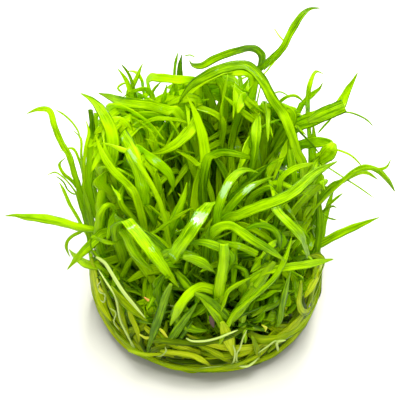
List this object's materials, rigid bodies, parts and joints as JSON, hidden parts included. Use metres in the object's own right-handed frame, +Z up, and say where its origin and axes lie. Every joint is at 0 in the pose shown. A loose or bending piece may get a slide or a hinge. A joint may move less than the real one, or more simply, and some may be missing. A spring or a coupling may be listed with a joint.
{
  "type": "cup-grown dwarf sagittaria clump",
  "caption": "Dense clump of dwarf sagittaria plantlets with arching strap leaves, standing on the flat, round root mat that its growing cup moulded",
  "frame": {"origin": "middle of the root mat's flat underside, on the surface the clump stands on", "axes": "+Z up, -Y towards the side that the picture shows in front, +X to the right of that side"},
  "size_m": [0.1448, 0.0962, 0.1149],
  "materials": {
    "leaf": "wet, glossy, translucent lime-green blade with fine lengthwise veins",
    "wall_leaf": "wet olive-lime blade and runner, paler where the cup pressed it",
    "root_mat": "wet felt of olive runners and roots, near black in its gaps",
    "root": "pale yellow, slightly translucent root"
  },
  "bodies": {
    "root": {"leaf_back_folded": "leaf", "leaf_back_high": "leaf", "leaf_back_left": "leaf", "leaf_bright_upright": "leaf", "leaf_centre_arch": "leaf", "leaf_far_left_hook": "leaf", "leaf_front_broad": "leaf", "leaf_front_left": "leaf", "leaf_front_post": "leaf", "leaf_great_arch": "leaf", "leaf_left_broad": "leaf", "leaf_left_flag": "leaf", "leaf_right_claw": "leaf", "leaf_right_folded": "leaf", "leaf_right_long": "leaf", "leaf_right_spear": "leaf", "leaf_tallest": "leaf", "plantlet_01": "leaf", "plantlet_02": "leaf", "plantlet_03": "leaf", "plantlet_04": "leaf", "plantlet_05": "leaf", "plantlet_06": "leaf", "plantlet_07": "leaf", "plantlet_08": "leaf", "plantlet_09": "leaf", "plantlet_10": "leaf", "plantlet_11": "leaf", "plantlet_12": "leaf", "plantlet_13": "leaf", "plantlet_14": "leaf", "plantlet_15": "leaf", "plantlet_16": "leaf", "plantlet_17": "leaf", "plantlet_18": "leaf", "plantlet_19": "leaf", "plantlet_20": "leaf", "plantlet_21": "leaf", "plantlet_22": "leaf", "plantlet_23": "leaf", "plantlet_24": "leaf", "plantlet_25": "leaf", "plantlet_26": "leaf", "plantlet_27": "leaf", "plantlet_28": "leaf", "plantlet_29": "leaf", "plantlet_30": "leaf", "root_front": "root", "root_left": "root", "root_mat": "root_mat", "root_right": "root", "runner_back_left": "wall_leaf", "runner_back_right": "wall_leaf", "runner_front": "wall_leaf", "wall_band_right": "wall_leaf", "wall_leaf_front": "wall_leaf", "wall_leaf_left": "wall_leaf", "wall_leaf_pale": "wall_leaf", "wall_leaf_right": "wall_leaf", "wall_strand_front": "wall_leaf"}
  },
  "joints": []
}
